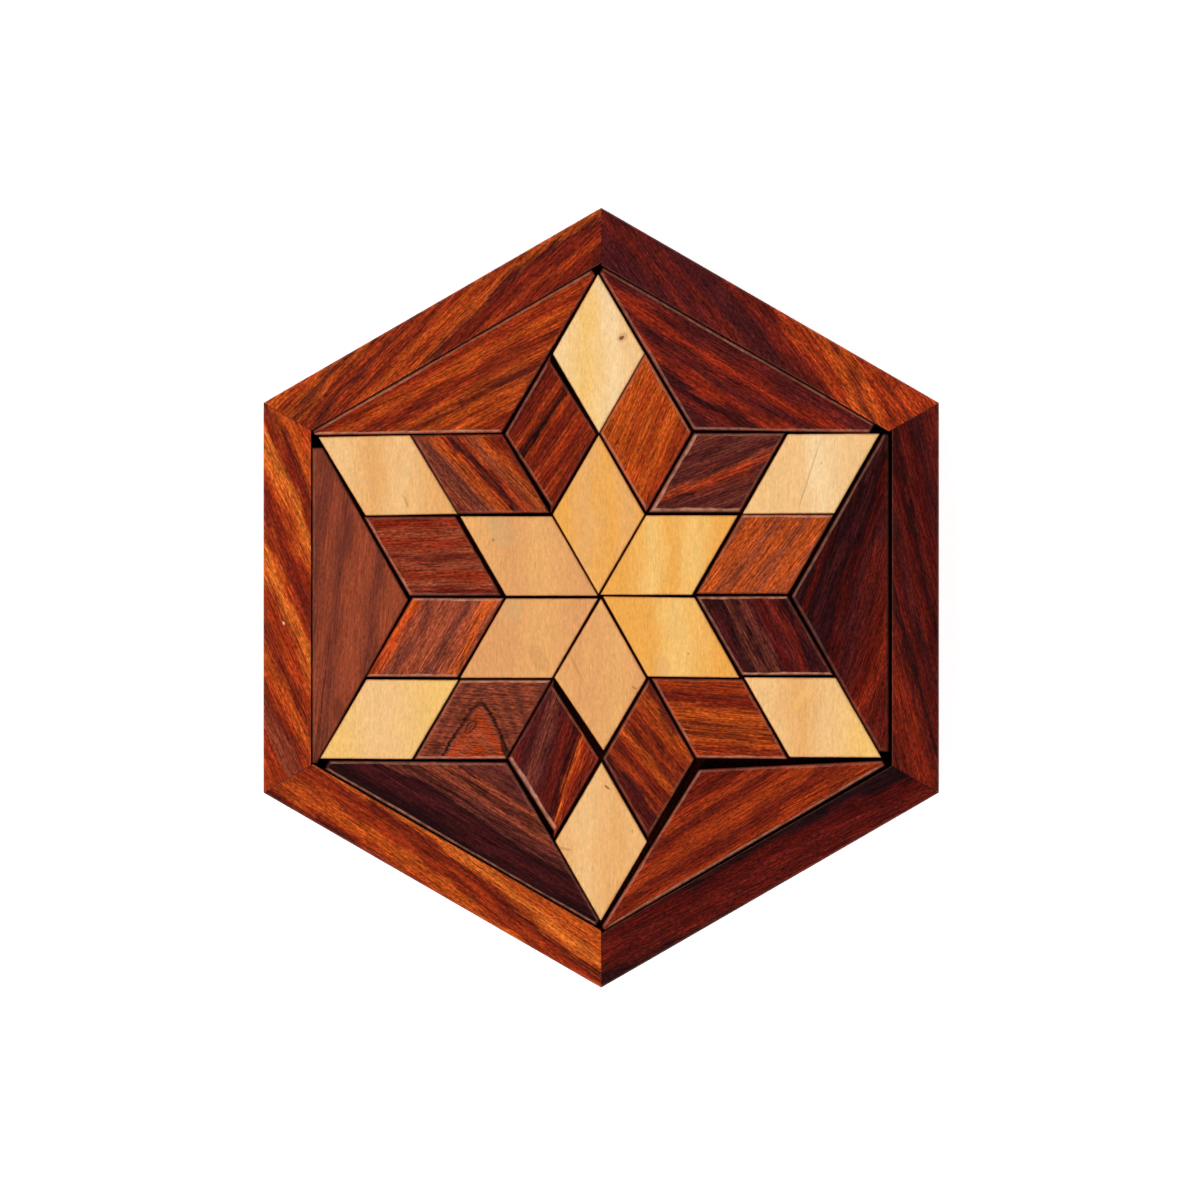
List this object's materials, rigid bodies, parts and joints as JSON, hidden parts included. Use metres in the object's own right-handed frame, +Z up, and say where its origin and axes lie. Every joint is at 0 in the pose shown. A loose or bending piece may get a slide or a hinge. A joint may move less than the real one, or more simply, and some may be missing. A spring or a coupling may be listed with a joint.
{
  "type": "hexagonal star tray puzzle",
  "caption": "Hexagonal wooden tray puzzle: mitred rosewood rails hold a star of loose pale and dark diamonds, with triangles filling in round its points.",
  "frame": {"origin": "middle of the tray's underside, where it rests on a table", "axes": "+Z up out of the tray's open face; +Y through the tray corner that the first star point faces; +X to the right when the tray is seen from above with that corner at the top"},
  "size_m": [0.13, 0.15, 0.0165],
  "materials": {
    "rail_rosewood_red": "waxed, streaky orange-red rosewood",
    "rail_rosewood_dark": "waxed, dark red-brown rosewood with black and orange streaks",
    "piece_rosewood_orange": "sanded and waxed orange-brown rosewood, eased edges",
    "piece_rosewood_brown": "sanded and waxed red-brown rosewood, eased edges",
    "piece_rosewood_dark": "sanded and waxed purple-brown rosewood, eased edges",
    "honey_wood": "sanded honey-coloured close-grained wood",
    "cream_wood": "sanded cream-coloured close-grained wood",
    "base_board": "plain dark-stained board",
    "pin_steel": "dull steel"
  },
  "bodies": {
    "tray": {"rail_1": "rail_rosewood_red", "rail_2": "rail_rosewood_red", "rail_3": "rail_rosewood_red", "rail_4": "rail_rosewood_dark", "rail_5": "rail_rosewood_dark", "rail_6": "rail_rosewood_dark", "base_board": "base_board", "base_pins": "pin_steel"},
    "inner_diamond_1": {"inner_diamond_1": "honey_wood"},
    "inner_diamond_2": {"inner_diamond_2": "honey_wood"},
    "inner_diamond_3": {"inner_diamond_3": "honey_wood"},
    "inner_diamond_4": {"inner_diamond_4": "honey_wood"},
    "inner_diamond_5": {"inner_diamond_5": "honey_wood"},
    "inner_diamond_6": {"inner_diamond_6": "honey_wood"},
    "tip_diamond_1": {"tip_diamond_1": "cream_wood"},
    "tip_diamond_2": {"tip_diamond_2": "cream_wood"},
    "tip_diamond_3": {"tip_diamond_3": "cream_wood"},
    "tip_diamond_4": {"tip_diamond_4": "cream_wood"},
    "tip_diamond_5": {"tip_diamond_5": "cream_wood"},
    "tip_diamond_6": {"tip_diamond_6": "cream_wood"},
    "dark_diamond_1": {"dark_diamond_1": "piece_rosewood_brown"},
    "dark_diamond_2": {"dark_diamond_2": "piece_rosewood_orange"},
    "dark_diamond_3": {"dark_diamond_3": "piece_rosewood_brown"},
    "dark_diamond_4": {"dark_diamond_4": "piece_rosewood_orange"},
    "dark_diamond_5": {"dark_diamond_5": "piece_rosewood_brown"},
    "dark_diamond_6": {"dark_diamond_6": "piece_rosewood_dark"},
    "dark_diamond_7": {"dark_diamond_7": "piece_rosewood_brown"},
    "dark_diamond_8": {"dark_diamond_8": "piece_rosewood_orange"},
    "dark_diamond_9": {"dark_diamond_9": "piece_rosewood_dark"},
    "dark_diamond_10": {"dark_diamond_10": "piece_rosewood_orange"},
    "dark_diamond_11": {"dark_diamond_11": "piece_rosewood_dark"},
    "dark_diamond_12": {"dark_diamond_12": "piece_rosewood_orange"},
    "edge_triangle_1": {"edge_triangle_1": "piece_rosewood_brown"},
    "edge_triangle_2": {"edge_triangle_2": "piece_rosewood_brown"},
    "edge_triangle_3": {"edge_triangle_3": "piece_rosewood_dark"},
    "edge_triangle_4": {"edge_triangle_4": "piece_rosewood_orange"},
    "edge_triangle_5": {"edge_triangle_5": "piece_rosewood_dark"},
    "edge_triangle_6": {"edge_triangle_6": "piece_rosewood_dark"}
  },
  "joints": [
    {"name": "inner_diamond_1_lift", "type": "slide", "parent": "tray", "child": "inner_diamond_1", "axis": [0, 0, 1], "range_m": [0, 0.025]},
    {"name": "inner_diamond_2_lift", "type": "slide", "parent": "tray", "child": "inner_diamond_2", "axis": [0, 0, 1], "range_m": [0, 0.025]},
    {"name": "inner_diamond_3_lift", "type": "slide", "parent": "tray", "child": "inner_diamond_3", "axis": [0, 0, 1], "range_m": [0, 0.025]},
    {"name": "inner_diamond_4_lift", "type": "slide", "parent": "tray", "child": "inner_diamond_4", "axis": [0, 0, 1], "range_m": [0, 0.025]},
    {"name": "inner_diamond_5_lift", "type": "slide", "parent": "tray", "child": "inner_diamond_5", "axis": [0, 0, 1], "range_m": [0, 0.025]},
    {"name": "inner_diamond_6_lift", "type": "slide", "parent": "tray", "child": "inner_diamond_6", "axis": [0, 0, 1], "range_m": [0, 0.025]},
    {"name": "tip_diamond_1_lift", "type": "slide", "parent": "tray", "child": "tip_diamond_1", "axis": [0, 0, 1], "range_m": [0, 0.025]},
    {"name": "tip_diamond_2_lift", "type": "slide", "parent": "tray", "child": "tip_diamond_2", "axis": [0, 0, 1], "range_m": [0, 0.025]},
    {"name": "tip_diamond_3_lift", "type": "slide", "parent": "tray", "child": "tip_diamond_3", "axis": [0, 0, 1], "range_m": [0, 0.025]},
    {"name": "tip_diamond_4_lift", "type": "slide", "parent": "tray", "child": "tip_diamond_4", "axis": [0, 0, 1], "range_m": [0, 0.025]},
    {"name": "tip_diamond_5_lift", "type": "slide", "parent": "tray", "child": "tip_diamond_5", "axis": [0, 0, 1], "range_m": [0, 0.025]},
    {"name": "tip_diamond_6_lift", "type": "slide", "parent": "tray", "child": "tip_diamond_6", "axis": [0, 0, 1], "range_m": [0, 0.025]},
    {"name": "dark_diamond_1_lift", "type": "slide", "parent": "tray", "child": "dark_diamond_1", "axis": [0, 0, 1], "range_m": [0, 0.025]},
    {"name": "dark_diamond_2_lift", "type": "slide", "parent": "tray", "child": "dark_diamond_2", "axis": [0, 0, 1], "range_m": [0, 0.025]},
    {"name": "dark_diamond_3_lift", "type": "slide", "parent": "tray", "child": "dark_diamond_3", "axis": [0, 0, 1], "range_m": [0, 0.025]},
    {"name": "dark_diamond_4_lift", "type": "slide", "parent": "tray", "child": "dark_diamond_4", "axis": [0, 0, 1], "range_m": [0, 0.025]},
    {"name": "dark_diamond_5_lift", "type": "slide", "parent": "tray", "child": "dark_diamond_5", "axis": [0, 0, 1], "range_m": [0, 0.025]},
    {"name": "dark_diamond_6_lift", "type": "slide", "parent": "tray", "child": "dark_diamond_6", "axis": [0, 0, 1], "range_m": [0, 0.025]},
    {"name": "dark_diamond_7_lift", "type": "slide", "parent": "tray", "child": "dark_diamond_7", "axis": [0, 0, 1], "range_m": [0, 0.025]},
    {"name": "dark_diamond_8_lift", "type": "slide", "parent": "tray", "child": "dark_diamond_8", "axis": [0, 0, 1], "range_m": [0, 0.025]},
    {"name": "dark_diamond_9_lift", "type": "slide", "parent": "tray", "child": "dark_diamond_9", "axis": [0, 0, 1], "range_m": [0, 0.025]},
    {"name": "dark_diamond_10_lift", "type": "slide", "parent": "tray", "child": "dark_diamond_10", "axis": [0, 0, 1], "range_m": [0, 0.025]},
    {"name": "dark_diamond_11_lift", "type": "slide", "parent": "tray", "child": "dark_diamond_11", "axis": [0, 0, 1], "range_m": [0, 0.025]},
    {"name": "dark_diamond_12_lift", "type": "slide", "parent": "tray", "child": "dark_diamond_12", "axis": [0, 0, 1], "range_m": [0, 0.025]},
    {"name": "edge_triangle_1_lift", "type": "slide", "parent": "tray", "child": "edge_triangle_1", "axis": [0, 0, 1], "range_m": [0, 0.025]},
    {"name": "edge_triangle_2_lift", "type": "slide", "parent": "tray", "child": "edge_triangle_2", "axis": [0, 0, 1], "range_m": [0, 0.025]},
    {"name": "edge_triangle_3_lift", "type": "slide", "parent": "tray", "child": "edge_triangle_3", "axis": [0, 0, 1], "range_m": [0, 0.025]},
    {"name": "edge_triangle_4_lift", "type": "slide", "parent": "tray", "child": "edge_triangle_4", "axis": [0, 0, 1], "range_m": [0, 0.025]},
    {"name": "edge_triangle_5_lift", "type": "slide", "parent": "tray", "child": "edge_triangle_5", "axis": [0, 0, 1], "range_m": [0, 0.025]},
    {"name": "edge_triangle_6_lift", "type": "slide", "parent": "tray", "child": "edge_triangle_6", "axis": [0, 0, 1], "range_m": [0, 0.025]}
  ]
}
